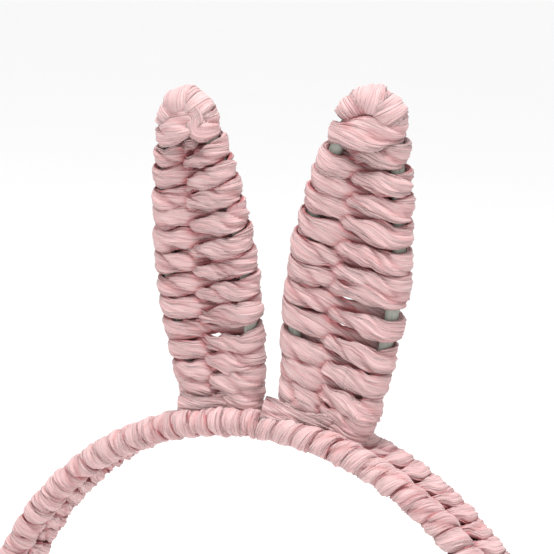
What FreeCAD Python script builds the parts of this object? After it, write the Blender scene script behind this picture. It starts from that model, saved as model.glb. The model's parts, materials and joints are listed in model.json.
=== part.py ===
"""Rabbit-ears headband: two wire rails and two wire ears, all bound with twisted paper strand.

Units are millimetres. The origin is the centre of the band's arc, midway through its width: the arc's inner
face is the head seat. +Z is up, -Y is the wearer's face, and +X is to the right when the headband is seen from
the front.

The frame is paper-covered steel wire. Two parallel rails run over the head and join in a U-bend at each end.
Each ear is a loop of the same wire, whose two ends turn in and lie along one line between the rails. The strand
is wound in figures of eight, round one wire and then round the other, and grips the ends of the ear loops.
An ear therefore tips forward and back about that line. The arms of the band spring apart to go on a head.
The windings are plain closed solids here, as thick as the strand lies over the wires.
"""

import FreeCAD
import Part
import math
import os

Vector = FreeCAD.Vector

# Wire and strand
COVER_DIAMETER = 2.9  # paper-covered wire, over its cover
CORE_DIAMETER = 1.4  # the steel in it
STRAND_THICKNESS = 1.95  # strand pressed flat over a wire
WOUND_THICKNESS = COVER_DIAMETER + 2 * STRAND_THICKNESS
WOUND_OFFSET = WOUND_THICKNESS / 2  # from a wire's centre line to the outside of its winding

# Band, along the line midway between the rails. Angles count from the top of the crown
BAND_RADIUS = 72.0
FLEX_ANGLE = 54.0  # where an arm springs
ARM_ANGLE = 105.0  # where the arc ends and the arm goes on straight, leaning inwards
ARM_LENGTH = 40.0  # the straight stretch
RAIL_SPACING = 9.9
RAIL_Y = RAIL_SPACING / 2
BAND_WIDTH = RAIL_SPACING + WOUND_THICKNESS
EDGE_ROUND = 3.1  # rounding of the band's and the ears' edges
RAIL_GAP = 0.35  # from the spring line to a rail's end
WINDING_GAP = 0.8  # from the spring line to a winding's end

# Ears, in their own frame: u across the ear, v through it to the rear, w up it, from the line it tips about
EAR_ANGLE = 10.0  # from the top of the crown to an ear's foot
EAR_LEAN = 6.5  # an ear leans outwards by this much
EAR_SPLAY = 8.0  # it faces outwards by this much
EAR_FORWARD = {"right": 3.0, "left": 6.5}  # and it is bent forward by this much
FOOT_END_U = 0.6  # where a turned-in wire end stops
CORNER_RADIUS = 3.0  # bend from a foot up into a leg
LEG_START = (7.0, 3.0)  # u, w
LEG_WIDEST_U = 10.7
LEG_TOP_U = 4.2
LEG_TOP_W = {"right": 70.4, "left": 67.2}  # one ear is bent a little taller
WIDEST_SHARE = 0.493  # height of a leg's widest point, of its top
EAR_FLOOR = 4.95  # lowest point of an ear's winding
BASE_WRAP_TOP = 13.0
TIP_WRAP_DROP = 4.0  # from a leg's top down to the tip wrap's lower edge
EAR_ROUND = 3.0  # rounding of the ear's lower corners

# Room for an ear to tip
TILT_RANGE = 28.0  # the furthest that an ear tips from rest
FOOT_CLEARANCE = 0.06
SLOT_U = (2.6, 9.6)
SLOT_BELOW = 1.75
SLOT_ABOVE = 5.0
SLOT_MARGIN = 0.25

# Cut ends of the ears' strands, pressed flat against the front of the lowest turns: u and w, low and high
TAILS = {"right": ((-14.6, -1.5), (6.1, 9.9)), "left": ((1.5, 13.6), (6.5, 9.7))}
TAIL_THICKNESS = 0.9
TAIL_GAP = 0.05

FAR = 200.0  # larger than the object, for cutting tools

CENTRE = Vector(0, 0, 0)  # of the band's arc
ROUTE_AXIS = Vector(0, 1, 0)


def along(angle):
    """Direction along the band, towards +X, at an angle from the top of the crown."""
    a = math.radians(angle)
    return Vector(math.cos(a), 0, -math.sin(a))


def outward(angle):
    """Direction away from the centre of the band's arc."""
    a = math.radians(angle)
    return Vector(math.sin(a), 0, math.cos(a))


def band_point(angle, y=0.0):
    """A point on the arc midway through the band's thickness."""
    return CENTRE + outward(angle) * BAND_RADIUS + Vector(0, y, 0)


def disc(centre, normal, diameter):
    """A round face."""
    edge = Part.makeCircle(diameter / 2, centre, normal)
    return Part.Face(Part.Wire([edge]))


def run(length, direction):
    """A straight stretch of a route."""
    return ("run", direction * length)


def turn(centre, axis, angle):
    """A stretch of a route that turns about a centre."""
    return ("turn", centre, axis, angle)


def sweep(face, moves):
    """The solid that a face makes as it goes along a route of runs and turns."""
    solids = []
    for move in moves:
        if move[0] == "run":
            solids.append(face.extrude(move[1]))
            face = face.translated(move[1])
        else:
            centre, axis, angle = move[1:]
            solids.append(face.revolve(centre, axis, angle))
            face = face.rotated(centre, axis, angle)
    whole = solids[0]
    if len(solids) > 1:
        whole = whole.fuse(solids[1:])
    if len(whole.Solids) != 1:
        raise ValueError("a route must give one solid")
    return whole.Solids[0]


def mirrored(shape):
    """The same piece on the other side of the headband."""
    return shape.mirror(Vector(0, 0, 0), Vector(1, 0, 0))


def covered_wire(face_at, moves):
    """Steel core and paper cover of one wire. face_at(diameter) is the wire's end face at the start."""
    core = sweep(face_at(CORE_DIAMETER), moves)
    whole = sweep(face_at(COVER_DIAMETER), moves)
    return core, whole.cut(core), whole


# ---- Band ----


def rounded_rectangle(width, height, radius):
    """A face in the XY plane, centred, with rounded corners."""
    edges = []
    for quarter, (sx, sy) in enumerate(((1, 1), (-1, 1), (-1, -1), (1, -1))):
        centre = Vector(sx * (width / 2 - radius), sy * (height / 2 - radius), 0)
        start = 90 * quarter
        edges.append(Part.makeCircle(radius, centre, Vector(0, 0, 1), start, start + 90))
    arcs = list(edges)
    for arc, following in zip(arcs, arcs[1:] + arcs[:1]):
        edges.append(Part.makeLine(arc.Vertexes[-1].Point, following.Vertexes[0].Point))
    return Part.Face(Part.Wire(Part.__sortEdges__(edges)))


def band_section(angle):
    """The wound band's section at an angle on the crown: its width along Y, its height outwards."""
    section = rounded_rectangle(BAND_WIDTH, WOUND_THICKNESS, EDGE_ROUND)
    turned = FreeCAD.Rotation(Vector(0, 1, 0), outward(angle), along(angle), "XYZ")
    section.Placement = FreeCAD.Placement(band_point(angle), turned)
    return section


def degrees_of(length):
    """The angle that a length takes up along the band's arc."""
    return math.degrees(length / BAND_RADIUS)


def arc_to(start, end):
    """Route along the band's arc, from one angle to another."""
    return turn(CENTRE, ROUTE_AXIS, end - start)


def arm_moves(start):
    """Route of the right arm, from an angle on the arc to the end of the straight."""
    return [arc_to(start, ARM_ANGLE), run(ARM_LENGTH, along(ARM_ANGLE))]


def arm_end():
    """Middle of the band at the end of the straight, where the U-bend begins."""
    return band_point(ARM_ANGLE) + along(ARM_ANGLE) * ARM_LENGTH


def crown_rail(y):
    """One rail over the crown, between the two spring lines: core, cover and both together."""
    half = FLEX_ANGLE - degrees_of(RAIL_GAP)
    start = band_point(-half, y)
    return covered_wire(lambda d: disc(start, along(-half), d), [arc_to(-half, half)])


def arm_rail_loop():
    """The right arm's wire: down the front rail, round the U-bend and up the rear rail."""
    first = FLEX_ANGLE + degrees_of(RAIL_GAP)
    start = band_point(first, -RAIL_Y)
    # carries the wire's end face round the tip, from the front rail to the rear one
    bend = turn(arm_end(), outward(ARM_ANGLE), 180)
    back = [run(ARM_LENGTH, along(ARM_ANGLE) * -1), arc_to(ARM_ANGLE, first)]
    return covered_wire(lambda d: disc(start, along(first), d), [*arm_moves(first), bend, *back])


def crown_winding(rails, right_ear_tools, left_ear_tools):
    """Strand over the crown, open for the rails and for the feet and legs of both ears."""
    half = FLEX_ANGLE - degrees_of(WINDING_GAP)
    body = sweep(band_section(-half), [arc_to(-half, half)])
    return body.cut([*rails, *right_ear_tools, *left_ear_tools])


def arm_winding(wire):
    """Strand down the right arm, to where the U-bend begins."""
    first = FLEX_ANGLE + degrees_of(WINDING_GAP)
    return sweep(band_section(first), arm_moves(first)).cut(wire)


def arm_tip_wrap(wire):
    """Strand wound round the right arm's U-bend: a half disc with rounded edges."""
    out = outward(ARM_ANGLE)
    whole = Part.makeCylinder(BAND_WIDTH / 2, WOUND_THICKNESS, arm_end() - out * WOUND_OFFSET, out)
    rims = [e for e in whole.Edges if isinstance(e.Curve, Part.Circle)]
    whole = whole.makeFillet(EDGE_ROUND, rims)
    beyond = Part.makeBox(FAR, FAR, FAR, Vector(-FAR / 2, -FAR / 2, 0))
    beyond.Placement = FreeCAD.Placement(arm_end(), FreeCAD.Rotation(Vector(0, 0, 1), along(ARM_ANGLE)))
    return whole.common(beyond).cut(wire)


# ---- Ears ----


def circle_through(a, b, c):
    """Centre and radius, in the ear's plane, of the circle through three points (u, w)."""
    circle = Part.Arc(*(Vector(p[0], 0, p[1]) for p in (a, b, c))).toShape().Curve
    return circle.Center, circle.Radius


class Ear:
    """The outline of one ear's wire in the ear's own frame, and the ear's place on the crown.

    The left ear's frame is mirrored, so that u counts outwards on both.
    """

    def __init__(self, side):
        self.side = side
        self.top = (LEG_TOP_U, LEG_TOP_W[side])
        widest = (LEG_WIDEST_U, WIDEST_SHARE * self.top[1])
        self.leg_centre, self.leg_radius = circle_through(LEG_START, widest, self.top)
        self.top_angle = self.leg_angle(self.top)
        # the bend at the tip is tangent to both legs
        lean = math.radians(self.top_angle)
        self.apex_radius = self.top[0] / math.cos(lean)
        self.apex_w = self.top[1] - self.apex_radius * math.sin(lean)

    def placement(self):
        """Place of the ear's frame, as if on the right of the crown."""
        up = outward(EAR_LEAN)
        square = FreeCAD.Rotation(along(EAR_LEAN), Vector(0, 1, 0), up, "XYZ")
        splayed = FreeCAD.Rotation(up, EAR_SPLAY).multiply(square)
        u = splayed.multVec(Vector(1, 0, 0))
        leaning = FreeCAD.Rotation(u, EAR_FORWARD[self.side]).multiply(splayed)
        return FreeCAD.Placement(band_point(EAR_ANGLE), leaning)

    def placed(self, shape):
        """A piece, moved from the ear's frame to its place on the crown."""
        moved = shape.copy()
        moved.Placement = self.placement().multiply(moved.Placement)
        return moved if self.side == "right" else mirrored(moved)

    def leg_angle(self, point):
        """Direction of a point from the leg arc's centre, in degrees up from +u."""
        return math.degrees(math.atan2(point[1] - self.leg_centre.z, point[0] - self.leg_centre.x))

    def leg_point(self, angle, radius):
        """A point (u, w) on an arc beside the outer leg's."""
        a = math.radians(angle)
        return (self.leg_centre.x + radius * math.cos(a), self.leg_centre.z + radius * math.sin(a))

    def foot_corner(self):
        """Where the leg's arc reaches the corner bend, and the corner's centre (u, w)."""
        # the corner's centre is a radius above the foot and a radius inside the leg's arc
        reach = self.leg_radius - CORNER_RADIUS
        height = CORNER_RADIUS
        u = self.leg_centre.x + math.sqrt(reach**2 - (height - self.leg_centre.z) ** 2)
        return self.leg_angle((u, height)), (u, height)


def ear_wire(ear):
    """An ear's loop of covered wire, from foot to foot."""
    corner_angle, corner = ear.foot_corner()
    across, through = Vector(1, 0, 0), Vector(0, 1, 0)
    start = Vector(FOOT_END_U, 0, 0)
    corner_turn = 90 + corner_angle
    leg_turn = ear.top_angle - corner_angle

    def at(u, w):
        return Vector(u, 0, w)

    # seen from the front, angles about -v run anticlockwise
    moves = [
        run(corner[0] - FOOT_END_U, across),
        turn(at(*corner), through * -1, corner_turn),
        turn(ear.leg_centre, through * -1, leg_turn),
        turn(at(0, ear.apex_w), through * -1, 180 - 2 * ear.top_angle),
        turn(at(-ear.leg_centre.x, ear.leg_centre.z), through * -1, leg_turn),
        turn(at(-corner[0], corner[1]), through * -1, corner_turn),
        run(corner[0] - FOOT_END_U, across),
    ]
    return covered_wire(lambda d: disc(start, across, d), moves)


def ear_envelope(ear):
    """The whole winding of an ear: a leaf-shaped plate with rounded edges."""
    outside = ear.leg_radius + WOUND_OFFSET
    floor_angle = math.degrees(math.asin((EAR_FLOOR - ear.leg_centre.z) / outside))
    angles = (floor_angle, (floor_angle + ear.top_angle) / 2, ear.top_angle)
    y = -WOUND_OFFSET
    right = [Vector(p[0], y, p[1]) for p in (ear.leg_point(a, outside) for a in angles)]
    left = [Vector(-p.x, y, p.z) for p in right]
    tip = Vector(0, y, ear.apex_w + ear.apex_radius + WOUND_OFFSET)
    edges = [
        Part.LineSegment(left[0], right[0]).toShape(),
        Part.Arc(*right).toShape(),
        Part.Arc(right[2], tip, left[2]).toShape(),
        Part.Arc(left[2], left[1], left[0]).toShape(),
    ]
    plate = Part.Face(Part.Wire(edges)).extrude(Vector(0, WOUND_THICKNESS, 0))
    through = [e for e in plate.Edges if abs(e.tangentAt(e.FirstParameter).y) > 0.99]
    corners = [e for e in through if e.CenterOfMass.z < BASE_WRAP_TOP]
    plate = plate.makeFillet(EAR_ROUND, corners)
    rims = [e for e in plate.Edges if abs(abs(e.CenterOfMass.y) - WOUND_OFFSET) < 1e-6]
    return plate.makeFillet(EDGE_ROUND, rims)


def slab(low, high):
    """Everything between two heights up the ear."""
    return Part.makeBox(FAR, FAR, high - low, Vector(-FAR / 2, -FAR / 2, low))


def ear_tools():
    """What the crown's winding leaves open for an ear: bores for the feet and a slot at each leg."""
    bore = Part.makeCylinder(
        COVER_DIAMETER / 2 + FOOT_CLEARANCE, 2 * SLOT_U[1], Vector(-SLOT_U[1], 0, 0), Vector(1, 0, 0)
    )
    tilt = math.radians(TILT_RANGE)
    foot_half = COVER_DIAMETER / 2 + SLOT_MARGIN
    top_half = SLOT_ABOVE * math.tan(tilt) + foot_half / math.cos(tilt)
    tools = [bore]
    for side in (-1, 1):
        near = SLOT_U[0] if side > 0 else -SLOT_U[1]
        profile = [
            (-foot_half, -SLOT_BELOW),
            (foot_half, -SLOT_BELOW),
            (top_half, SLOT_ABOVE),
            (-top_half, SLOT_ABOVE),
        ]
        points = [Vector(near, v, w) for v, w in profile]
        face = Part.Face(Part.makePolygon(points + points[:1]))
        tools.append(face.extrude(Vector(SLOT_U[1] - SLOT_U[0], 0, 0)))
    return tools


def strand_tail(side):
    """The cut end of an ear's strand, pressed flat against the front of the winding."""
    (near, far), (low, high) = TAILS[side]
    front = -WOUND_OFFSET - TAIL_GAP - TAIL_THICKNESS
    return Part.makeBox(far - near, TAIL_THICKNESS, high - low, Vector(near, front, low))


# ---- Pieces ----


def headband():
    """Every piece by its name."""
    pieces = {}
    rails = {}
    for name, y in (("front", -RAIL_Y), ("rear", RAIL_Y)):
        core, cover, whole = crown_rail(y)
        pieces[f"crown_{name}_rail_core"] = core
        pieces[f"crown_{name}_rail_cover"] = cover
        rails[name] = whole

    core, cover, whole = arm_rail_loop()
    right_arm = {
        "rail_loop_core": core,
        "rail_loop_cover": cover,
        "winding": arm_winding(whole),
        "tip_wrap": arm_tip_wrap(whole),
    }
    for name, shape in right_arm.items():
        pieces[f"right_arm_{name}"] = shape
        pieces[f"left_arm_{name}"] = mirrored(shape)

    tools = []
    for side in TAILS:
        ear = Ear(side)
        core, cover, whole = ear_wire(ear)
        envelope = ear_envelope(ear).cut(whole)
        tip_floor = ear.top[1] - TIP_WRAP_DROP
        shapes = {
            "wire_core": core,
            "wire_cover": cover,
            "base_wrap": envelope.common(slab(0, BASE_WRAP_TOP)),
            "winding": envelope.common(slab(BASE_WRAP_TOP, tip_floor)),
            "tip_wrap": envelope.common(slab(tip_floor, FAR)),
            "strand_tail": strand_tail(side),
        }
        for name, shape in shapes.items():
            pieces[f"{side}_ear_{name}"] = ear.placed(shape)
        tools.append([ear.placed(t) for t in ear_tools()])

    pieces["crown_winding"] = crown_winding(list(rails.values()), *tools)
    return pieces


def report_joints():
    """Prints where the moving pieces turn, in metres."""
    place = Ear("right").placement()
    u = place.Rotation.multVec(Vector(1, 0, 0))
    print("ear hinge", [round(x / 1000, 6) for x in place.Base], "axis", [round(x, 6) for x in u])
    print("arm hinge", [round(x / 1000, 6) for x in band_point(FLEX_ANGLE)], "axis", [0, 1, 0])


os.makedirs("parts", exist_ok=True)
for name, shape in sorted(headband().items()):
    solids = shape.Solids
    box = shape.BoundBox
    print(
        f"{name:28s} solids {len(solids)} valid {shape.isValid()} volume {shape.Volume:9.1f}"
        f"  x {box.XMin:7.2f} {box.XMax:7.2f}  y {box.YMin:7.2f} {box.YMax:7.2f}  z {box.ZMin:7.2f} {box.ZMax:7.2f}"
    )
    shape.exportStep(f"parts/{name}.step")
report_joints()
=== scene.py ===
"""Finishes the rabbit-ears headband: the paper strand wound on its wires, the wires' covers and the studio.

Every size is in metres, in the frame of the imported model: +Z up, -Y to the wearer's face, the origin at the
centre of the band's arc. The strand is wound in figures of eight round pairs of wires. It is laid along a
route worked out from the wires' places, as a flattened section with lengthwise pleats.
"""

import json
import math
import random

import bpy
import numpy as np
from bpy.props import FloatProperty, FloatVectorProperty, IntProperty, PointerProperty
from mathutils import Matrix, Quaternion, Vector


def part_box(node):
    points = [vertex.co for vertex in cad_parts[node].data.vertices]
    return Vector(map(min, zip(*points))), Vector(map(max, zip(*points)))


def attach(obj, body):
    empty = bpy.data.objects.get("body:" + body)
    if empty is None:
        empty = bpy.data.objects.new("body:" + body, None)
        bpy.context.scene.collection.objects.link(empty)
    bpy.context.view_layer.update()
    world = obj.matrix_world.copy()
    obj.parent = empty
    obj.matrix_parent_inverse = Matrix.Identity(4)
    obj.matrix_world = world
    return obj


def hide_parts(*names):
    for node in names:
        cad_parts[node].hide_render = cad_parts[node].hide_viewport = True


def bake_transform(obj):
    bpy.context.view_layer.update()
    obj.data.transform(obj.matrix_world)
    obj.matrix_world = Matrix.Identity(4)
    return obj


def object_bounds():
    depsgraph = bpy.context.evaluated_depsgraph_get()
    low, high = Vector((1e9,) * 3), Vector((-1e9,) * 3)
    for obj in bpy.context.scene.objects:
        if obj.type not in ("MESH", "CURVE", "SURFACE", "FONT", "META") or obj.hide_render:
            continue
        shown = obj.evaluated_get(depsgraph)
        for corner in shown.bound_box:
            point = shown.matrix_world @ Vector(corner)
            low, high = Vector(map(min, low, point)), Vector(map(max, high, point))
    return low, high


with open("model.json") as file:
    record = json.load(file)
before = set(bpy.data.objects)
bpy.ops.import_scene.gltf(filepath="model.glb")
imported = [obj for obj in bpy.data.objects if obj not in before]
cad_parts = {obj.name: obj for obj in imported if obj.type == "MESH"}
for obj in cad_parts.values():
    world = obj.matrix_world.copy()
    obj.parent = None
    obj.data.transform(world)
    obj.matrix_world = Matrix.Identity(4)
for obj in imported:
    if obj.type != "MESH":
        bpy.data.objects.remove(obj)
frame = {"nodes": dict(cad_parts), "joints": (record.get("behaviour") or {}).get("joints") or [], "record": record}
cad_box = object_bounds()

bl_info = {
    "name": "Rabbit-ears headband",
    "version": (1, 0, 0),
    "blender": (4, 5, 0),
    "location": "View3D > Sidebar > Headband",
    "description": "Winds the headband's paper strand round its wires and lights it",
    "category": "Object",
}

SIDES = (("left", -1), ("right", 1))

joints = {j["name"]: j for j in frame["joints"]}
seat_radius = frame["record"]["mounts"][0]["dims"]["r_mm"] / 1000
winding_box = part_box("crown_winding")
half_thickness = (winding_box[1].z - seat_radius) / 2
band_radius = seat_radius + half_thickness
cover_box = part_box("crown_front_rail_cover")
wire_radius = (cover_box[1].y - cover_box[0].y) / 2
rail_y = -(cover_box[0].y + cover_box[1].y) / 2


# ---- Sizes and colours a user would change ----


class StrandSizes(bpy.types.PropertyGroup):
    """The twisted paper strand."""

    pad_width: FloatProperty(name="Width over a wire", description="Strand pressed flat on a wire",
                             default=0.0052, unit="LENGTH")
    pad_thickness: FloatProperty(name="Thickness over a wire", description="Through the flattened strand",
                                 default=0.0019, unit="LENGTH")
    pleat_depth: FloatProperty(name="Pleat depth", description="Height of the lengthwise pleats",
                               default=0.00011, unit="LENGTH")
    fold_depth: FloatProperty(name="Fold depth", description="Depth of the folds that wind round the strand",
                              default=0.00062, unit="LENGTH")
    twist: FloatProperty(name="Twist", description="Length of strand in which a fold winds once round it",
                         default=0.019, unit="LENGTH")
    step: FloatProperty(name="Step", description="Distance between the mesh's rings", default=0.0005,
                        unit="LENGTH")
    around: IntProperty(name="Points round", description="Mesh points round the strand", default=60)


class EarSizes(bpy.types.PropertyGroup):
    """The windings of an ear."""

    row_pitch: FloatProperty(name="Row pitch", description="From one row to the next", default=0.0049,
                             unit="LENGTH")
    leg_foot: FloatVectorProperty(name="Leg foot", description="Lowest point of a leg: across, up", size=2,
                                  default=(0.0070, 0.0030), unit="LENGTH")
    leg_widest: FloatProperty(name="Leg widest", description="From the ear's middle to a leg at its widest",
                              default=0.0107, unit="LENGTH")
    widest_share: FloatProperty(name="Height of the widest point", description="As a share of a leg's height",
                                default=0.493, subtype="FACTOR", min=0, max=1)
    leg_top: FloatProperty(name="Leg top", description="From the ear's middle to a leg at the tip's bend",
                           default=0.0042, unit="LENGTH")
    left_height: FloatProperty(name="Left leg height", description="Up to the left ear's bend",
                               default=0.0672, unit="LENGTH")
    right_height: FloatProperty(name="Right leg height", description="Up to the right ear's bend",
                                default=0.0704, unit="LENGTH")


class BandSizes(bpy.types.PropertyGroup):
    """The windings of the band."""

    turn_pitch: FloatProperty(name="Turn pitch", description="From one turn to the next", default=0.0044,
                              unit="LENGTH")
    arm_angle: FloatProperty(name="Arc end", description="From the crown's top to where an arm goes straight",
                             default=math.radians(105), subtype="ANGLE")
    arm_length: FloatProperty(name="Straight", description="Straight stretch of an arm", default=0.040,
                              unit="LENGTH")
    hand_over: FloatProperty(name="Hand-over", description="Where the crown's strand runs on into an arm's",
                             default=math.radians(40), subtype="ANGLE")


class Colours(bpy.types.PropertyGroup):
    """Colours of the finishes."""

    strand: FloatVectorProperty(name="Strand", description="Dyed paper", subtype="COLOR", size=3,
                                default=(0.585, 0.405, 0.400))
    # painted shade: besides tinting the dye's patches and fibres, this colour darkens the folds and the creases
    strand_dye_and_fold_shade: FloatVectorProperty(name="Strand, deep", description="Dye gathered in the folds",
                                     subtype="COLOR", size=3, default=(0.49, 0.235, 0.238))
    # painted shade: the darkening where the strand's turns lie close over one another, not dye
    strand_shade: FloatVectorProperty(name="Strand, between turns", description="Dye where the turns overlap",
                                      subtype="COLOR", size=3, default=(0.46, 0.105, 0.115))
    cover: FloatVectorProperty(name="Wire cover", description="Grey-green paper tape", subtype="COLOR",
                               size=3, default=(0.32, 0.33, 0.29))
    steel: FloatVectorProperty(name="Steel", description="Drawn wire", subtype="COLOR", size=3,
                               default=(0.55, 0.55, 0.56))
    ground: FloatVectorProperty(name="Ground", description="Pale studio floor", subtype="COLOR", size=3,
                                default=(0.95, 0.95, 0.95))


# ---- Materials ----


def new_material(name):
    """A material with a Principled shader: the material, its tree's nodes and links, and the shader."""
    material = bpy.data.materials.new(name)
    material.use_nodes = True
    tree = material.node_tree
    return material, tree.nodes, tree.links, tree.nodes["Principled BSDF"]


def noise(nodes, links, vector, scale, detail=4.0, roughness=0.55):
    """A noise texture read at a vector."""
    node = nodes.new("ShaderNodeTexNoise")
    node.inputs["Scale"].default_value = scale
    node.inputs["Detail"].default_value = detail
    node.inputs["Roughness"].default_value = roughness
    links.new(vector, node.inputs["Vector"])
    return node.outputs["Fac"]


def stretched(nodes, links, vector, scale):
    """A vector scaled by a different amount each way."""
    node = nodes.new("ShaderNodeMapping")
    node.inputs["Scale"].default_value = scale
    links.new(vector, node.inputs["Vector"])
    return node.outputs["Vector"]


def ramp(nodes, links, value, stops):
    """A colour ramp. stops are (position, colour)."""
    node = nodes.new("ShaderNodeValToRGB")
    elements = node.color_ramp.elements
    for element, (position, colour) in zip(elements, (stops[0], stops[-1])):
        element.position = position
        element.color = (*colour, 1)
    for position, colour in stops[1:-1]:
        elements.new(position).color = (*colour, 1)
    links.new(value, node.inputs["Fac"])
    return node.outputs["Color"]


def mix(nodes, links, factor, a, b, blend="MIX"):
    """Two colours mixed. A factor or colour may be a value or another node's output."""
    node = nodes.new("ShaderNodeMix")
    node.data_type = "RGBA"
    node.blend_type = blend
    for socket, value in ((node.inputs[0], factor), (node.inputs[6], a), (node.inputs[7], b)):
        if isinstance(value, bpy.types.NodeSocket):
            links.new(value, socket)
        elif isinstance(value, (int, float)):
            socket.default_value = value
        else:
            socket.default_value = (*value, 1)
    return node.outputs[2]


def bump(nodes, links, height, distance, strength, normal=None):
    """A bump from a height, over another normal."""
    node = nodes.new("ShaderNodeBump")
    node.inputs["Distance"].default_value = distance
    node.inputs["Strength"].default_value = strength
    links.new(height, node.inputs["Height"])
    if normal is not None:
        links.new(normal, node.inputs["Normal"])
    return node.outputs["Normal"]


def tinted(colour, factor):
    """A colour made lighter or darker."""
    return tuple(min(1.0, c * factor) for c in colour)


def raffia_material():
    """Dyed crepe paper: fine fibres along the strand, uneven dye, and painted shade in the folds, creases and
    between turns.
    """
    colours = bpy.context.scene.headband_colours
    strand, deep = tuple(colours.strand), tuple(colours.strand_dye_and_fold_shade)
    material, nodes, links, shader = new_material("raffia_finish")
    uv = nodes.new("ShaderNodeUVMap")
    uv.uv_map = "strand"
    across = uv.outputs["UV"]
    # the map is in millimetres: X round the strand and Y along it
    fibres = noise(nodes, links, stretched(nodes, links, across, (4.6, 0.14, 1.0)), 1.0, 3.0, 0.5)
    pleats = noise(nodes, links, stretched(nodes, links, across, (2.3, 0.08, 1.0)), 1.0, 2.0, 0.5)
    streaks = noise(nodes, links, stretched(nodes, links, across, (0.8, 0.05, 1.0)), 1.0, 2.0)
    creases = noise(nodes, links, stretched(nodes, links, across, (1.3, 0.7, 1.0)), 1.0, 3.0)
    place = nodes.new("ShaderNodeTexCoord").outputs["Object"]
    patches = noise(nodes, links, place, 90.0, 3.0)
    fold = nodes.new("ShaderNodeAttribute")
    fold.attribute_name = "fold"
    hidden = nodes.new("ShaderNodeAttribute")
    hidden.attribute_name = "hidden"

    base = mix(nodes, links, ramp(nodes, links, streaks, [(0.32, (0, 0, 0)), (0.68, (1, 1, 1))]),
               tinted(strand, 0.94), tinted(strand, 1.05))
    base = mix(nodes, links, ramp(nodes, links, fibres, [(0.30, (1, 1, 1)), (0.62, (0, 0, 0))]),
               base, mix(nodes, links, 0.45, base, deep))
    base = mix(nodes, links, ramp(nodes, links, patches, [(0.45, (0, 0, 0)), (0.75, (0.20, 0.20, 0.20))]),
               base, tinted(deep, 1.25))
    # painted shade: dark crease lines along the pleats' valleys
    crease_shade = ramp(nodes, links, pleats, [(0.35, (0.6, 0.6, 0.6)), (0.42, (0, 0, 0))])
    base = mix(nodes, links, crease_shade, base, tinted(deep, 0.9))
    # painted shade: the strand's folds darkened towards the deep colour
    fold_shade = ramp(nodes, links, fold.outputs["Fac"], [(0.25, (0, 0, 0)), (1.0, (0.8, 0.8, 0.8))])
    base = mix(nodes, links, fold_shade, base, deep)
    # painted shade where the strand's other turns lie close over it
    shade = ramp(nodes, links, hidden.outputs["Fac"], [(0.2, (0, 0, 0)), (0.95, (0.85, 0.85, 0.85))])
    base = mix(nodes, links, shade, base, tuple(colours.strand_shade))
    links.new(base, shader.inputs["Base Color"])

    normal = bump(nodes, links, creases, 0.0003, 0.35)
    normal = bump(nodes, links, pleats, 0.0008, 1.0, normal)
    normal = bump(nodes, links, fibres, 0.0004, 1.0, normal)
    links.new(normal, shader.inputs["Normal"])
    dull = ramp(nodes, links, fibres, [(0.3, (0.78, 0.78, 0.78)), (0.7, (0.60, 0.60, 0.60))])
    links.new(dull, shader.inputs["Roughness"])
    shader.inputs["Specular IOR Level"].default_value = 0.36
    shader.inputs["Sheen Weight"].default_value = 0.14
    shader.inputs["Sheen Roughness"].default_value = 0.5
    shader.inputs["Subsurface Weight"].default_value = 0.12
    shader.inputs["Subsurface Radius"].default_value = (1.0, 0.35, 0.30)
    shader.inputs["Subsurface Scale"].default_value = 0.0012
    return material


def cover_material():
    """Grey-green paper tape round a wire: a fine grain along the wire and faint marks of the tape's turns."""
    colour = tuple(bpy.context.scene.headband_colours.cover)
    material, nodes, links, shader = new_material("wire_paper_finish")
    place = nodes.new("ShaderNodeTexCoord").outputs["Object"]
    grain = noise(nodes, links, stretched(nodes, links, place, (3600, 3600, 260)), 1.0, 4.0)
    blotch = noise(nodes, links, place, 420.0, 3.0)
    base = mix(nodes, links, ramp(nodes, links, grain, [(0.3, (0, 0, 0)), (0.7, (1, 1, 1))]),
               tinted(colour, 0.78), tinted(colour, 1.22))
    base = mix(nodes, links, ramp(nodes, links, blotch, [(0.4, (0, 0, 0)), (0.8, (0.5, 0.5, 0.5))]),
               base, tinted(colour, 0.7))
    links.new(base, shader.inputs["Base Color"])
    links.new(bump(nodes, links, grain, 0.0001, 0.6), shader.inputs["Normal"])
    dull = ramp(nodes, links, grain, [(0.3, (0.85, 0.85, 0.85)), (0.7, (0.68, 0.68, 0.68))])
    links.new(dull, shader.inputs["Roughness"])
    shader.inputs["Specular IOR Level"].default_value = 0.3
    return material


def steel_material():
    """Drawn steel wire, with fine die lines."""
    colour = tuple(bpy.context.scene.headband_colours.steel)
    material, nodes, links, shader = new_material("steel_wire_finish")
    place = nodes.new("ShaderNodeTexCoord").outputs["Object"]
    lines = noise(nodes, links, stretched(nodes, links, place, (5200, 5200, 300)), 1.0, 3.0)
    base = mix(nodes, links, lines, tinted(colour, 0.8), tinted(colour, 1.15))
    links.new(base, shader.inputs["Base Color"])
    links.new(bump(nodes, links, lines, 0.00004, 0.4), shader.inputs["Normal"])
    links.new(ramp(nodes, links, lines, [(0.3, (0.42, 0.42, 0.42)), (0.7, (0.30, 0.30, 0.30))]),
              shader.inputs["Roughness"])
    shader.inputs["Metallic"].default_value = 1.0
    return material


MAKERS = {"raffia": raffia_material, "wire_paper": cover_material, "steel_wire": steel_material}
finishes = {}


def finish(slot):
    """The finish for a material slot, made the first time it is asked for."""
    if slot not in finishes:
        finishes[slot] = MAKERS[slot]()
    return finishes[slot]


# ---- The strand ----


def smooth(x, low, high):
    """0 below low, 1 above high, and a smooth rise between them."""
    t = np.clip((x - low) / (high - low), 0, 1)
    return t * t * (3 - 2 * t)


def wander(rng, count, spacing, step):
    """A smooth random curve between about -1 and 1, with a new value every so many metres."""
    knots = max(4, int(count * step / spacing) + 4)
    values = np.array([rng.uniform(-1, 1) for _ in range(knots)])
    x = np.linspace(0, knots - 3.001, count)
    i = x.astype(int)
    f = x - i
    a, b = values[i], values[i + 1]
    return a + (b - a) * f * f * (3 - 2 * f)


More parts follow.
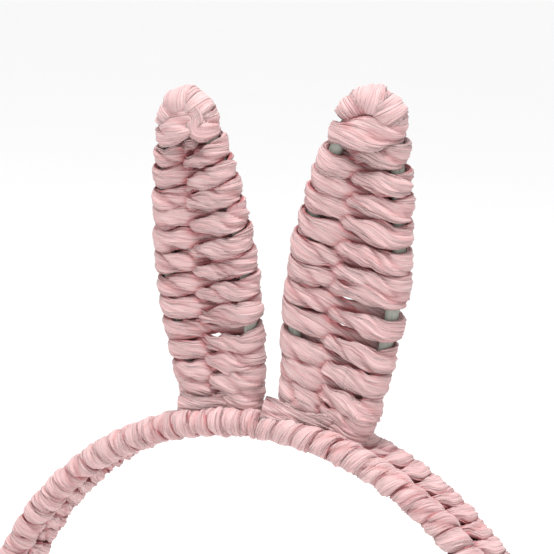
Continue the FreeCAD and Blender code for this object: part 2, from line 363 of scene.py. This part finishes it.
class Route:
    """A line for the strand to follow: points, directions through its thickness, and its section's sizes."""

    def __init__(self):
        self.points, self.normals, self.widths, self.depths = [], [], [], []

    def add(self, point, normal, width, depth):
        """Adds one place along the line."""
        self.points.append(tuple(point))
        self.normals.append(tuple(normal))
        self.widths.append(width)
        self.depths.append(depth)

    def even(self, step):
        """The line's arrays, at even steps along it."""
        points = np.array(self.points, float)
        gone = np.concatenate(([0], np.cumsum(np.linalg.norm(np.diff(points, axis=0), axis=1))))
        count = max(8, int(gone[-1] / step))
        s = np.linspace(0, gone[-1], count)

        def at(values):
            values = np.array(values, float)
            if values.ndim == 1:
                return np.interp(s, gone, values)
            return np.stack([np.interp(s, gone, values[:, k]) for k in range(3)], axis=1)

        return s, at(self.points), at(self.normals), at(self.widths), at(self.depths)


def blurred(values, reach):
    """Values averaged with their neighbours, which rounds a route's corners."""
    kernel = np.hanning(2 * reach + 3)[1:-1]
    kernel /= kernel.sum()
    padded = np.concatenate((np.repeat(values[:1], reach, 0), values, np.repeat(values[-1:], reach, 0)))
    return np.stack([np.convolve(padded[:, k], kernel, "valid") for k in range(values.shape[1])], axis=1)


def unit(vectors):
    """Vectors of length one."""
    return vectors / np.linalg.norm(vectors, axis=1, keepdims=True)


def hidden_share(points, outer, outward, s):
    """How far each point of the surface lies in the shade of the strand's other turns, from 0 to 1."""
    reach, clear, free = 1.6, 1.0, 3.9  # millimetres
    own = 7.0  # stretch of strand that doesn't shade itself, to each side
    probe = (outer + outward * reach / 1000).reshape(len(s), -1, 3) * 1000
    centres, along = points[::3] * 1000, s[::3] * 1000
    share = np.empty(probe.shape[:2])
    for first in range(0, len(s), 64):
        block = probe[first:first + 64]
        gap = (block ** 2).sum(2)[:, :, None] + (centres ** 2).sum(1) - 2 * block @ centres.T
        beside = np.abs(s[first:first + 64, None] * 1000 - along) < own
        gap = np.where(beside[:, None, :], 1e6, gap)
        share[first:first + 64] = 1 - smooth(np.sqrt(np.maximum(gap.min(2), 0)), clear, free)
    return share


# How the strand varies along its length: by how much, and over how many metres
TIPPING = (0.16, 0.009)  # radians
WIDTH_CHANGE = (0.09, 0.006)  # share of its width
DEPTH_CHANGE = (0.14, 0.007)  # share of its thickness
SECTION_POWER = 0.86  # 1 gives an ellipse, less gives squarer corners
PLEATS = ((6, 0.9), (9, 1.0), (13, 0.9), (17, 0.6))  # how many go round the strand, and how deep
FOLDS = ((0.0, 1.0, 0.16), (2.2, 0.93, 0.13), (4.1, 1.08, 0.19), (3.0, 0.45, 0.12))  # start, pace, width


def strand_rings(route, seed, tapers=(0.0, 0.0), reach=2):
    """The strand's surface along a route, as rings of points, with its distance along and its shade.

    tapers are how far it thins at its start and at its end.
    """
    sizes = bpy.context.scene.headband_strand
    rng = random.Random(seed)
    s, points, normals, widths, depths = route.even(sizes.step)
    count, around = len(s), sizes.around
    points = blurred(points, reach)
    normals = blurred(normals, reach)
    ahead = unit(np.gradient(points, axis=0))
    normals = unit(normals - (normals * ahead).sum(1, keepdims=True) * ahead)
    sides = np.cross(ahead, normals)

    # the section tips over a little as the strand goes along, so that rows overlap unevenly
    tip = TIPPING[0] * wander(rng, count, TIPPING[1], sizes.step)
    cos, sin = np.cos(tip)[:, None], np.sin(tip)[:, None]
    normals, sides = normals * cos + sides * sin, sides * cos - normals * sin
    widths = widths * (1 + WIDTH_CHANGE[0] * wander(rng, count, WIDTH_CHANGE[1], sizes.step))
    depths = depths * (1 + DEPTH_CHANGE[0] * wander(rng, count, DEPTH_CHANGE[1], sizes.step))
    for taper, gone in zip(tapers, (s, s[-1] - s)):
        if taper:
            share = 0.25 + 0.75 * smooth(gone, 0, taper)
            widths, depths = widths * share, depths * share

    angle = np.linspace(0, 2 * np.pi, around, endpoint=False)
    cos, sin = np.cos(angle), np.sin(angle)
    across = widths[:, None] / 2 * np.sign(cos) * np.abs(cos) ** SECTION_POWER
    through = depths[:, None] / 2 * np.sign(sin) * np.abs(sin) ** SECTION_POWER

    # pleats run along the strand and creep round it, folds wind round it faster
    spin = 2 * np.pi * s / sizes.twist
    relief = np.zeros((count, around))
    for waves, share in PLEATS:
        drift = rng.uniform(0, 7) + 1.8 * wander(rng, count, 0.006, sizes.step)
        level = share * (0.65 + 0.55 * wander(rng, count, 0.004, sizes.step))
        relief += level[:, None] * np.sin(waves * (angle + 0.45 * spin[:, None]) + drift[:, None])
    relief *= sizes.pleat_depth
    fold = np.zeros((count, around))
    for start, pace, narrow in FOLDS:
        where = start + rng.uniform(0, 6) + pace * spin + 0.9 * wander(rng, count, 0.010, sizes.step)
        off = (angle + where[:, None] + np.pi) % (2 * np.pi) - np.pi
        level = 0.25 + 0.75 * smooth(wander(rng, count, 0.007, sizes.step), -0.4, 0.5)
        # a fold has a steep side and a long gentle one, as one layer lies over the next
        sharp = np.where(off > 0, np.exp(-((off / narrow) ** 2)), np.exp(-((off / (4 * narrow)) ** 2)))
        fold = np.maximum(fold, level[:, None] * sharp)
    relief -= sizes.fold_depth * fold * np.minimum(depths / sizes.pad_thickness, 1)[:, None]

    out = np.stack((across / (widths[:, None] / 2) ** 2, through / (depths[:, None] / 2) ** 2), axis=2)
    out /= np.maximum(np.linalg.norm(out, axis=2, keepdims=True), 1e-9)
    across = across + relief * out[:, :, 0]
    through = through + relief * out[:, :, 1]
    rings = (points[:, None, :] + sides[:, None, :] * across[:, :, None]
             + normals[:, None, :] * through[:, :, None])
    outward = sides[:, None, :] * out[:, :, :1] + normals[:, None, :] * out[:, :, 1:]
    return s, rings, fold, hidden_share(points, rings, outward, s)


def strand_pieces(names, route, seed, cuts=(), tapers=(0.0, 0.0)):
    """One strand along a route, as one mesh or, cut at shares of its length, as several that fit on end."""
    s, rings, fold, hidden = strand_rings(route, seed, tapers)
    marks = [0, *(int(c * (len(s) - 1)) for c in cuts), len(s) - 1]
    return [
        ring_mesh(name, rings[low:high + 1], s[low:high + 1], fold[low:high + 1], hidden[low:high + 1])
        for name, low, high in zip(names, marks, marks[1:])
    ]


def ring_mesh(name, rings, s, fold, hidden):
    """A closed mesh through rings of points, with the strand's map and its fold and hidden attributes."""
    count, around = rings.shape[:2]
    ends = rings[[0, -1]].mean(1)
    vertices = np.concatenate((rings.reshape(-1, 3), ends))
    i = np.arange(count - 1)[:, None] * around
    j = np.arange(around)
    k = (j + 1) % around
    quads = np.stack((i + j, i + k, i + around + k, i + around + j), axis=2).reshape(-1, 4)
    first, last = len(vertices) - 2, len(vertices) - 1
    high = (count - 1) * around
    caps = np.concatenate((
        np.stack((np.full(around, first), k, j), axis=1),
        np.stack((np.full(around, last), high + j, high + k), axis=1),
    ))
    corners = np.concatenate((quads.ravel(), caps.ravel()))
    sizes = np.concatenate((np.full(len(quads), 4), np.full(len(caps), 3)))

    mesh = bpy.data.meshes.new(name)
    mesh.vertices.add(len(vertices))
    mesh.vertices.foreach_set("co", vertices.astype(np.float32).ravel())
    mesh.loops.add(len(corners))
    mesh.loops.foreach_set("vertex_index", corners.astype(np.int32))
    mesh.polygons.add(len(sizes))
    mesh.polygons.foreach_set("loop_start", np.concatenate(([0], np.cumsum(sizes)[:-1])).astype(np.int32))
    mesh.update(calc_edges=True)
    mesh.validate()

    # the map is in millimetres: round the strand and along it
    girth = 13.0
    along = s * 1000
    u_low, u_high = j / around * girth, (j + 1) / around * girth
    v_low, v_high = along[:-1, None], along[1:, None]
    one = np.ones((count - 1, around))
    corner_u = np.stack((u_low * one, u_high * one, u_high * one, u_low * one), axis=2)
    corner_v = np.stack((v_low * one, v_low * one, v_high * one, v_high * one), axis=2)
    turned = 0.22  # how far the fibres creep round the strand, in millimetres for each one along it
    quad_uv = np.stack((corner_u + turned * corner_v, corner_v), axis=3).reshape(-1, 2)
    cap_u = np.stack((u_low, u_low, u_high), axis=1)
    cap_uv = np.concatenate([
        np.stack((cap_u, np.full((around, 3), end)), axis=2).reshape(-1, 2) for end in (along[0], along[-1])
    ])
    layer = mesh.uv_layers.new(name="strand")
    layer.data.foreach_set("uv", np.concatenate((quad_uv, cap_uv)).astype(np.float32).ravel())
    for title, values in (("fold", fold), ("hidden", hidden)):
        attribute = mesh.attributes.new(title, "FLOAT", "POINT")
        attribute.data.foreach_set("value", np.concatenate((values.ravel(), [1, 1])).astype(np.float32))
    mesh.polygons.foreach_set("use_smooth", np.ones(len(sizes), bool))

    piece = bpy.data.objects.new(name, mesh)
    bpy.context.scene.collection.objects.link(piece)
    mesh.materials.append(finish("raffia"))
    return piece


# ---- Figures of eight ----


def eight(half_gap, wrap_radius, steps=10):
    """One turn of a figure of eight round two wires, seen along them: place (u, v), normal, phase and how far
    along a pass it is, from -1 to 1, or None while it goes round a wire.

    The wires stand at u = -half_gap, the near one, and u = half_gap, the far one. The turn starts in front of
    the near wire, where v < 0, and goes behind the far one. Phases count 2 for a pass between the wires and 1
    for a way round a wire.
    """
    lean = math.asin(min(0.9, wrap_radius / half_gap))
    quarter = math.pi / 2

    def spot(side, direction):
        out = np.array((math.cos(direction), math.sin(direction)))
        return np.array((side * half_gap, 0.0)) + out * wrap_radius, out

    def pass_over(first, last, start_phase):
        for k in range(2 * steps):
            t = k / (2 * steps)
            point = first[0] + (last[0] - first[0]) * t
            yield point, first[1] if start_phase == 0 else -first[1], start_phase + 2 * t, 2 * t - 1

    def way_round(side, start, sweep, sign, start_phase):
        for k in range(steps):
            point, out = spot(side, start + sweep * k / steps)
            yield point, sign * out, start_phase + k / steps, None

    half = math.pi + 2 * lean
    yield from pass_over(spot(-1, -quarter + lean), spot(1, quarter + lean), 0)
    yield from way_round(1, quarter + lean, -half, -1, 2)
    yield from pass_over(spot(1, -quarter - lean), spot(-1, quarter - lean), 3)
    yield from way_round(-1, quarter - lean, half, 1, 5)


# Between the wires the strand is pulled straight, and it goes down as it rounds each of them, by these shares
# of a turn
FAR_DROP = 0.40
NEAR_DROP = 0.56

# The strand's width as a share of its width over a wire, from midway between the wires to beyond one
LENS = ((0.0, 0.60), (0.12, 0.70), (0.36, 1.02), (0.60, 1.06), (0.82, 0.94), (1.0, 0.97), (1.6, 0.95))

SEAT = 0.46  # from a wire's surface to the middle of the strand on it, as a share of the strand's thickness
CROSSING = 0.0010  # how far one pass lies in front of the middle plane, and the other behind it
HEAVY = 1.16  # how much thicker the strand is in the heavy turns
SWELL = (0.94, 1.06)  # a turn's width, as a share
NECK_PLACE = (0.30, 0.75)  # where a pass narrows, from midway between the wires to one of them
NECK_DEPTH = (0.0, 0.26)  # by how much
PASS_LIFT = 0.00022  # how far a pass bows up or down


def wrap_radius():
    """From a wire's middle to the middle of the strand wound on it."""
    return wire_radius + bpy.context.scene.headband_strand.pad_thickness * SEAT


def wind(route, near, far, half_gap_at, place, seed, mirror=1, over=CROSSING, heavy=0):
    """Adds turns of a figure of eight to a route.

    near and far are the turns' heights on the two wires, from the top down, half_gap_at gives the wires' half
    distance at a height, and place turns (u, v, w) into the frame. over keeps the two passes apart where they
    cross, and its sign says which lies in front. The last turns, as many as heavy says, are wound with a
    thicker stretch of strand.
    """
    sizes = bpy.context.scene.headband_strand
    rng = random.Random(seed)
    wrap = wrap_radius()
    for turn, (top, across, bottom) in enumerate(zip(near, far, near[1:])):
        pitch = min(1.2 * sizes.pad_width, top - bottom)
        heights = (top, across + FAR_DROP * pitch, across, bottom + NEAR_DROP * pitch, bottom)
        thick = HEAVY if turn >= len(near) - 1 - heavy else 1.0
        middle = half_gap_at((top + bottom) / 2)
        swell = rng.uniform(*SWELL) * thick
        necks = [(rng.uniform(*NECK_PLACE), rng.uniform(*NECK_DEPTH)) for _ in range(4)]
        lifts = [rng.uniform(-PASS_LIFT, PASS_LIFT) for _ in range(4)]
        for (u, v), normal, phase, cross in eight(middle, wrap):
            w = float(np.interp(phase, (0, 2, 3, 5, 6), heights))
            gap = half_gap_at(w)
            part = min(3, int(phase / 1.5))
            if cross is not None:
                front = over if phase < 3 else -over
                v += front * math.exp(-((cross / 0.42) ** 2))
                w += lifts[part] * (1 - cross * cross)
            out = abs(u) / gap
            neck, narrowing = necks[part]
            lens = float(np.interp(out, *zip(*LENS)))
            narrowed = 1 - narrowing * math.exp(-(((out - neck) / 0.14) ** 2))
            width = swell * sizes.pad_width * lens * narrowed
            plump = math.exp(-(((out - 0.45) / 0.3) ** 2))
            waist = 1 - min(1, out / 0.3)
            depth = sizes.pad_thickness * thick * (1 + 0.16 * plump + 0.12 * waist)
            u_here = u + (gap - middle) * math.copysign(min(1, out), u)
            route.add(place(mirror * u_here, v, w), place.turned(mirror * normal[0], normal[1], 0),
                      width, depth)


def rows(top, gaps, pitch, rng, uneven=0.0):
    """Heights of turns from the top down. gaps are in pitches."""
    heights = [top]
    for gap in gaps:
        heights.append(heights[-1] - gap * pitch + rng.uniform(-uneven, uneven) * pitch)
    return heights


# ---- Ears ----


class EarPlace:
    """An ear's own frame: u across it, v through it to the rear, w up it, from the line it tips about."""

    def __init__(self, side):
        joint = joints[f"{side}_ear_tilt"]
        self.origin = np.array(joint["pos_m"])
        self.u = np.array(joint["axis"]) / np.linalg.norm(joint["axis"])
        cover = frame["nodes"][f"{side}_ear_wire_cover"]
        co = np.array([v.co for v in cover.data.vertices]) - self.origin
        reach = np.linalg.norm(co, axis=1)
        top = co[reach > reach.max() - 0.0003].mean(0)
        top -= (top @ self.u) * self.u
        self.w = top / np.linalg.norm(top)
        self.v = np.cross(self.w, self.u)

    def turned(self, u, v, w):
        """A direction of the ear's frame, in the headband's."""
        return self.u * u + self.v * v + self.w * w

    def local(self, point):
        """A point of the headband's frame, in the ear's."""
        away = point - self.origin
        return away @ self.u, away @ self.v, away @ self.w

    def __call__(self, u, v, w):
        """A point of the ear's frame, in the headband's."""
        return self.origin + self.turned(u, v, w)


def circle_through(a, b, c):
    """Centre and radius of the circle through three points."""
    rows = np.array([[2 * (b[0] - a[0]), 2 * (b[1] - a[1])], [2 * (c[0] - a[0]), 2 * (c[1] - a[1])]])
    square = [p[0] ** 2 + p[1] ** 2 for p in (a, b, c)]
    centre = np.linalg.solve(rows, [square[1] - square[0], square[2] - square[0]])
    return centre, math.dist(centre, a)


class Legs:
    """The two legs of an ear's wire and the bend that joins them."""

    def __init__(self, side):
        sizes = bpy.context.scene.headband_ears
        height = getattr(sizes, f"{side}_height")
        self.top = (sizes.leg_top, height)
        widest = (sizes.leg_widest, sizes.widest_share * height)
        self.centre, self.radius = circle_through(sizes.leg_foot, widest, self.top)
        lean = math.atan2(self.top[1] - self.centre[1], self.top[0] - self.centre[0])
        self.bend_radius = self.top[0] / math.cos(lean)
        self.bend_height = self.top[1] - self.bend_radius * math.sin(lean)

    def half_gap(self, w):
        """Half the distance between the legs at a height."""
        w = min(w, self.top[1])
        return self.centre[0] + math.sqrt(self.radius ** 2 - (w - self.centre[1]) ** 2)


# Gaps between an ear's turns, in pitches, from the tip down: on the leg nearer the other ear, and on the
# outer leg
INNER_GAPS = {
    "right": (1.00, 0.85, 0.90, 1.15, 1.05, 1.05, 0.90, 1.05, 1.40, 1.05, 1.00, 0.70, 0.60),
    "left": (0.85, 0.95, 0.90, 1.10, 1.10, 0.90, 1.05, 1.10, 1.40, 0.70, 0.95, 0.90, 0.70),
}
OUTER_GAPS = {
    "right": (1.15, 1.05, 1.15, 1.15, 0.95, 0.50, 1.50, 1.43, 1.10, 1.25, 0.75, 0.60),
    "left": (0.90, 1.00, 0.80, 1.05, 1.00, 1.10, 1.00, 1.00, 0.90, 1.05, 0.90, 0.75),
}
FIRST_TURN = {"right": (0.0637, 0.0630), "left": (0.0634, 0.0584)}  # heights on the inner and outer legs
# Where the pass across the front of a tip starts and ends: leg (-1 inner, 1 outer) and height, twice
FRONT_PASS = {"right": (1, 0.0678, -1, 0.0660), "left": (-1, 0.0680, 1, 0.0635)}
# The free end and the root of each ear's tail: across the ear and up from the tail's middle
TAIL_ENDS = {
    "left": (np.array((-0.0092, -0.0044)), np.array((0.0030, -0.0034))),
    "right": (np.array((-0.0136, -0.0036)), np.array((0.0020, -0.0044))),
}

BASE_FROM = 0.76  # share of an ear's strand where its base begins
HEAVY_TURNS = 3  # thicker turns at an ear's base
EAR_TAPERS = (0.004, 0.004)  # how far a strand thins at its start and at its end
TIP_TAPERS = (0.003, 0.003)

# Seeds. Each side adds its own sign to all but the rows of the ears.
EAR_ROW_SEEDS = {"left": 4, "right": 5}
SEEDS = {"ear_turns": 11, "ear": 21, "ear_tip": 31, "ear_tail": 51,
         "band_rows": 61, "band_turns": 71, "band": 81, "arm_tip": 111}


def make_ear(side, mirror):
    """The strand wound on one ear, from its tip to its base."""
    sizes = bpy.context.scene.headband_ears
    legs, place = Legs(side), EarPlace(side)
    rng = random.Random(EAR_ROW_SEEDS[side])
    inner, outer = (
        rows(top, gaps[side], sizes.row_pitch, rng, 0.02)
        for top, gaps in zip(FIRST_TURN[side], (INNER_GAPS, OUTER_GAPS))
    )
    route = Route()
    wind(route, inner, outer, legs.half_gap, place, SEEDS["ear_turns"] + mirror, mirror,
         over=mirror * CROSSING, heavy=HEAVY_TURNS)
    names = (f"{side}_ear_strand", f"{side}_ear_base_strand")
    body, base = strand_pieces(names, route, SEEDS["ear"] + mirror, (BASE_FROM,), EAR_TAPERS)
    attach(body, f"{side}_ear")
    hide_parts(f"{side}_ear_winding")
    hold_base(base, side, place)
    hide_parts(f"{side}_ear_base_wrap")

    tip, = strand_pieces((f"{side}_ear_tip_strand",), tip_route(side, mirror, legs, place),
                         SEEDS["ear_tip"] + mirror, (), TIP_TAPERS)
    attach(tip, f"{side}_ear")
    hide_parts(f"{side}_ear_tip_wrap")

    tail, = strand_pieces((f"{side}_ear_tail",), tail_route(side, place), SEEDS["ear_tail"] + mirror)
    hold_base(tail, side, place)
    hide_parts(f"{side}_ear_strand_tail")


def hold_base(piece, side, place):
    """Bakes a piece at an ear's foot into the headband's frame; it is attached to no body, so it stays still."""
    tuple(place(0, 0, 0.0015))
    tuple(place(0, 0, 0.0110))
    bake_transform(piece)


def tip_route(side, mirror, legs, place):
    """Round the bend of the tip, then down across the front and round a leg."""
    strand = bpy.context.scene.headband_strand
    route = Route()
    wrap = wrap_radius()
    first_leg, first_height, last_leg, last_height = FRONT_PASS[side]

    def add(u, v, w, normal, width=1.0, depth=1.0):
        route.add(place(mirror * u, v, w), place.turned(mirror * normal[0], normal[1], normal[2]),
                  strand.pad_width * width, strand.pad_thickness * depth)

    # from the last leg over the bend to the first one, which the strand then leaves across the front
    turns, steps = 4.0, 20
    low, high = math.radians(-14), math.radians(192)
    for k in range(int(turns * steps) + 1):
        share = k / (turns * steps)
        bend = high + (low - high) * share
        out = np.array((first_leg * math.cos(bend), math.sin(bend)))
        roll = 2 * math.pi * (turns - k / steps) - math.pi / 2
        centre = out * legs.bend_radius + np.array((0, legs.bend_height))
        across = out * math.cos(roll)
        add(centre[0] + across[0] * wrap, math.sin(roll) * wrap, centre[1] + across[1] * wrap,
            (across[0], math.sin(roll), across[1]), 1.05 + 0.3 * math.sin(math.pi * share), 1.35)
    steps = 14
    start, end = first_leg * legs.half_gap(first_height), last_leg * legs.half_gap(last_height)
    for k in range(1, steps):
        t = k / steps
        add(start + (end - start) * t, -wrap - 0.0007 * math.sin(math.pi * t),
            first_height + (last_height - first_height) * t, (0, -1, 0), 1.05 + 0.3 * math.sin(math.pi * t))
    for k in range(steps + 1):
        roll = math.radians(-90 + 250 * k / steps)
        height = last_height - 0.35 * strand.pad_width * k / steps
        centre = last_leg * legs.half_gap(height)
        add(centre + last_leg * math.cos(roll) * wrap, math.sin(roll) * wrap, height,
            (last_leg * math.cos(roll), math.sin(roll), 0))
    return route


def tail_route(side, place):
    """The strand's cut end, coming out from between the lowest turns and lying over the crown."""
    strand = bpy.context.scene.headband_strand
    low, high = (np.array(corner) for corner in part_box(f"{side}_ear_strand_tail"))
    _, v, w = place.local((low + high) / 2)
    free, root = TAIL_ENDS[side]
    route = Route()
    for k in range(17):
        t = k / 16
        width = 0.62 + 0.38 * smooth(1 - t, 0.45, 1.0)
        end = free + (root - free) * t
        route.add(place(end[0], v - 0.0004 + 0.0026 * smooth(t, 0.6, 1.0), w + end[1]),
                  place.turned(0, -1, 0.55 * (1 - t)), strand.pad_width * width, strand.pad_thickness * 0.85)
    return route


# ---- Band ----


class BandPlace:
    """The band's own frame: u to the rear, v inwards, and w negative along the band from the crown's top."""

    def __init__(self, side):
        sizes = bpy.context.scene.headband_band
        self.side = side
        self.arc = sizes.arm_angle * band_radius
        self.arm_angle = sizes.arm_angle

    def axes(self, w):
        """Point on the band's middle line, and the directions outwards and along, at a distance down it."""
        a = -w
        angle = min(a / band_radius, self.arm_angle)
        outward = np.array((self.side * math.sin(angle), 0, math.cos(angle)))
        along = np.array((self.side * math.cos(angle), 0, -math.sin(angle)))
        return outward * band_radius + along * max(0.0, a - self.arc), outward, along

    def __call__(self, u, v, w):
        """A point of the band's frame, in the headband's."""
        middle, outward, _ = self.axes(w)
        self.last = outward
        return middle + outward * -v + np.array((0, u, 0))

    def turned(self, u, v, w):
        """A direction across the band, at the point last asked for."""
        return self.last * -v + np.array((0, u, 0))


def make_band_half(side, sign):
    """The strand wound on half the band, from the top of the crown to the arm's tip."""
    sizes = bpy.context.scene.headband_band
    strand = bpy.context.scene.headband_strand
    place = BandPlace(sign)
    end = place.arc + sizes.arm_length
    turns = round(end / sizes.turn_pitch)
    rng = random.Random(SEEDS["band_rows"] + sign)
    pitch = end / turns
    front = rows(0.25 * pitch, [1] * turns, pitch, rng, 0.05)
    rear = [w - pitch * rng.uniform(0.9, 1.1) for w in front[:-1]]

    route = Route()
    wind(route, front, rear, lambda w: rail_y, place, SEEDS["band_turns"] + sign)
    change = sizes.hand_over * band_radius / end
    names = (f"{side}_crown_strand", f"{side}_arm_strand", f"{side}_arm_lower_strand")
    upper, lower, lowest = strand_pieces(names, route, SEEDS["band"] + sign, (change, (1 + change) / 2))
    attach(upper, "crown")
    hinge = Vector(joints[f"{side}_arm_flex"]["pos_m"])
    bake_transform(lower)
    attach(lowest, f"{side}_arm")
    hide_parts(f"{side}_arm_winding")

    # round the U-bend at the tip
    route = Route()
    middle, outward, along = place.axes(-end)
    wrap = wrap_radius()
    turns, steps = 5.0, 16
    lead = math.radians(12)
    for k in range(int(turns * steps) + 1):
        bend = -lead + (math.pi + 2 * lead) * k / (turns * steps)
        out = np.array((0, -math.cos(bend), 0)) + along * math.sin(bend)
        roll = 2 * math.pi * k / steps
        normal = out * math.cos(roll) + outward * math.sin(roll)
        route.add(middle + out * rail_y + normal * wrap, normal,
                  strand.pad_width * 1.1, strand.pad_thickness * 1.1)
    tip, = strand_pieces((f"{side}_arm_tip_strand",), route, SEEDS["arm_tip"] + sign, (), TIP_TAPERS)
    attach(tip, f"{side}_arm")
    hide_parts(f"{side}_arm_tip_wrap")
    return upper


# ---- Operators ----


class HEADBAND_OT_ears(bpy.types.Operator):
    """Wind both ears"""

    bl_idname = "headband.ears"
    bl_label = "Wind the ears"

    def execute(self, context):
        for side, sign in SIDES:
            make_ear(side, sign)
        return {"FINISHED"}


class HEADBAND_OT_band(bpy.types.Operator):
    """Wind the band, from the crown to both arms' tips"""

    bl_idname = "headband.band"
    bl_label = "Wind the band"

    def execute(self, context):
        halves = [make_band_half(side, sign) for side, sign in SIDES]
        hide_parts("crown_winding")
        return {"FINISHED"}


class HEADBAND_OT_wires(bpy.types.Operator):
    """Give the wires and their covers their finishes"""

    bl_idname = "headband.wires"
    bl_label = "Finish the wires"

    def execute(self, context):
        for name, node in frame["nodes"].items():
            if node.hide_render:
                continue
            slot = "steel_wire" if name.endswith("_core") else "wire_paper"
            if not node.material_slots:
                node.data.materials.append(None)
            for holder in node.material_slots:
                holder.material = finish(slot)
        return {"FINISHED"}


FLOOR_SIZE = 80  # metres across, so that its edge isn't seen
FLOOR_DROP = 0.0006  # how far the floor lies under the CAD model
WORLD_STRENGTH = 1.0
LIGHTS = (("key", (0.05, -0.22, 0.85), 0.30, 7.6), ("fill", (0.60, -0.60, 0.15), 0.5, 0.6))  # size, watts
LIT_POINT = (0, 0, 0.09)  # where both lights point
AZIMUTH, ELEVATION, ROLL = 29.0, 9.0, 3.1  # the camera's, in degrees
DISTANCE = 0.454  # from the camera to its aim
AIM_OFFSET = (-0.0014, 0, 0.0318)  # the aim, from the middle of the band over the crown
SENSOR, LENS_LENGTH = 36.0, 136.8  # millimetres


class HEADBAND_OT_studio(bpy.types.Operator):
    """Add the floor, the lights and the camera"""

    bl_idname = "headband.studio"
    bl_label = "Set up the studio"

    def execute(self, context):
        scene = bpy.context.scene
        bpy.ops.object.select_all(action="DESELECT")
        bpy.ops.mesh.primitive_plane_add(size=FLOOR_SIZE, location=(0, 0, cad_box[0].z - FLOOR_DROP))
        floor = bpy.context.object
        floor.name = "floor"
        material, nodes, links, shader = new_material("studio_floor")
        place = nodes.new("ShaderNodeTexCoord").outputs["Object"]
        grain = noise(nodes, links, place, 3.0, 2.0)
        ground = tuple(scene.headband_colours.ground)
        links.new(mix(nodes, links, grain, tinted(ground, 0.985), ground), shader.inputs["Base Color"])
        shader.inputs["Roughness"].default_value = 0.9
        floor.data.materials.append(material)

        scene.view_settings.view_transform = "Standard"
        world = bpy.data.worlds.new("studio")
        world.use_nodes = True
        world.node_tree.nodes["Background"].inputs["Color"].default_value = (1, 1, 1, 1)
        world.node_tree.nodes["Background"].inputs["Strength"].default_value = WORLD_STRENGTH
        scene.world = world
        for name, place_at, size, power in LIGHTS:
            data = bpy.data.lights.new(name, "AREA")
            data.size = size
            data.energy = power
            light = bpy.data.objects.new(name, data)
            light.location = place_at
            aside = Vector(LIT_POINT) - Vector(place_at)
            light.rotation_euler = aside.to_track_quat("-Z", "Y").to_euler()
            scene.collection.objects.link(light)

        data = bpy.data.cameras.new("camera")
        camera = bpy.data.objects.new("camera", data)
        scene.collection.objects.link(camera)
        scene.camera = camera
        azimuth, elevation, roll = (math.radians(angle) for angle in (AZIMUTH, ELEVATION, ROLL))
        aim = Vector((AIM_OFFSET[0], AIM_OFFSET[1], band_radius + AIM_OFFSET[2]))
        back = Vector((math.sin(azimuth) * math.cos(elevation), -math.cos(azimuth) * math.cos(elevation),
                       math.sin(elevation)))
        camera.location = aim + back * DISTANCE
        camera.rotation_mode = "QUATERNION"
        camera.rotation_quaternion = (-back).to_track_quat("-Z", "Y") @ Quaternion((0, 0, 1), roll)
        data.sensor_width = SENSOR
        data.lens = LENS_LENGTH
        data.clip_start, data.clip_end = 0.01, 20
        return {"FINISHED"}


class HEADBAND_PT_panel(bpy.types.Panel):
    """Buttons for the headband's steps"""

    bl_label = "Rabbit-ears headband"
    bl_space_type = "VIEW_3D"
    bl_region_type = "UI"
    bl_category = "Headband"

    def draw(self, context):
        layout = self.layout
        for operator in OPERATORS:
            layout.operator(operator.bl_idname)


GROUPS = {"strand": StrandSizes, "ears": EarSizes, "band": BandSizes, "colours": Colours}
OPERATORS = (HEADBAND_OT_band, HEADBAND_OT_ears, HEADBAND_OT_wires, HEADBAND_OT_studio)


def register():
    """Adds the properties, operators and panel."""
    for name, group in GROUPS.items():
        bpy.utils.register_class(group)
        setattr(bpy.types.Scene, f"headband_{name}", PointerProperty(type=group))
    for operator in OPERATORS:
        bpy.utils.register_class(operator)
    bpy.utils.register_class(HEADBAND_PT_panel)


def unregister():
    """Removes them again."""
    bpy.utils.unregister_class(HEADBAND_PT_panel)
    for operator in reversed(OPERATORS):
        bpy.utils.unregister_class(operator)
    for name, group in GROUPS.items():
        delattr(bpy.types.Scene, f"headband_{name}")
        bpy.utils.unregister_class(group)


def main():
    """Makes the headband."""
    register()
    bpy.ops.headband.band()
    bpy.ops.headband.ears()
    bpy.ops.headband.wires()
    bpy.ops.headband.studio()


if __name__ == "__main__":
    main()
